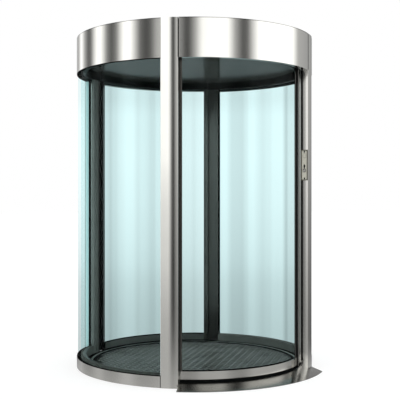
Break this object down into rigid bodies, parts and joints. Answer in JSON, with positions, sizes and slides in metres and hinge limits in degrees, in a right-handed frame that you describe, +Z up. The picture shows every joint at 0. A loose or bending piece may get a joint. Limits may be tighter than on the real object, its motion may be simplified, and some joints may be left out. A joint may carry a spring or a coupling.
{
  "type": "cylindrical security portal",
  "caption": "Cylindrical glass security portal: round cabin with curved sliding doors front and rear, steel canopy band, posts, base bands and low entrance ramps.",
  "frame": {"origin": "on the ground, on the vertical axis of the round cabin", "axes": "+Z up along the cabin's axis; the front door and the front ramp face -Y; +X is the right-hand side of a person entering, where the lock plate is"},
  "size_m": [1.67, 1.8498, 2.3],
  "materials": {
    "stainless": "vertical and circumferential satin grain, soft studio reflections",
    "dark_profile": "satin anthracite coating",
    "black_profile": "deep black satin coating",
    "wall_glass": "thick clear laminated glass with a faint blue-green tint",
    "door_glass": "clear laminated glass with a faint blue-green tint",
    "seal_rubber": "matt black",
    "mat": "dark slate ribbed mat",
    "floor_metal": "satin, lightly scuffed",
    "base_steel": "matt black primer",
    "galvanised": "dull zinc",
    "running_gear": "bright zinc blades and axles, pale rollers",
    "ceiling": "glossy dark grey-green panel",
    "lock_plate": "satin champagne anodised",
    "lock_cylinder": "satin nickel"
  },
  "bodies": {
    "frame": {"floor_base": "base_steel", "floor_mat": "mat", "floor_ring": "black_profile", "front_threshold": "floor_metal", "rear_threshold": "floor_metal", "left_wall_glass": "wall_glass", "right_wall_glass": "wall_glass", "left_base_band": "stainless", "right_base_band": "stainless", "left_inner_rail": "dark_profile", "right_inner_rail": "dark_profile", "wall_gaskets": "seal_rubber", "front_left_post": "stainless", "front_right_post": "stainless", "rear_left_post": "stainless", "rear_right_post": "stainless", "front_left_post_core": "dark_profile", "front_right_post_core": "dark_profile", "rear_left_post_core": "dark_profile", "rear_right_post_core": "dark_profile", "header_ring": "black_profile", "door_track": "galvanised", "ceiling_panel": "ceiling", "roof_panel": "galvanised", "front_fascia": "stainless", "rear_fascia": "stainless", "left_fascia": "stainless", "right_fascia": "stainless", "lock_plate": "lock_plate", "lock_cylinder": "lock_cylinder"},
    "front_door": {"front_door_glass": "door_glass", "front_door_bottom_rail": "dark_profile", "front_door_rail_cover": "stainless", "front_door_top_rail": "black_profile", "front_door_closing_stile": "dark_profile", "front_door_trailing_stile": "dark_profile", "front_door_seals": "seal_rubber", "front_door_carriages": "running_gear"},
    "rear_door": {"rear_door_glass": "door_glass", "rear_door_bottom_rail": "dark_profile", "rear_door_rail_cover": "stainless", "rear_door_top_rail": "black_profile", "rear_door_closing_stile": "dark_profile", "rear_door_trailing_stile": "dark_profile", "rear_door_seals": "seal_rubber", "rear_door_carriages": "running_gear"}
  },
  "joints": [
    {"name": "front_door_slide", "type": "hinge", "parent": "frame", "child": "front_door", "pos_m": [0, 0, 1.05], "axis": [0, 0, -1], "range_deg": [0, 77]},
    {"name": "rear_door_slide", "type": "hinge", "parent": "frame", "child": "rear_door", "pos_m": [0, 0, 1.05], "axis": [0, 0, -1], "range_deg": [0, 77]}
  ]
}
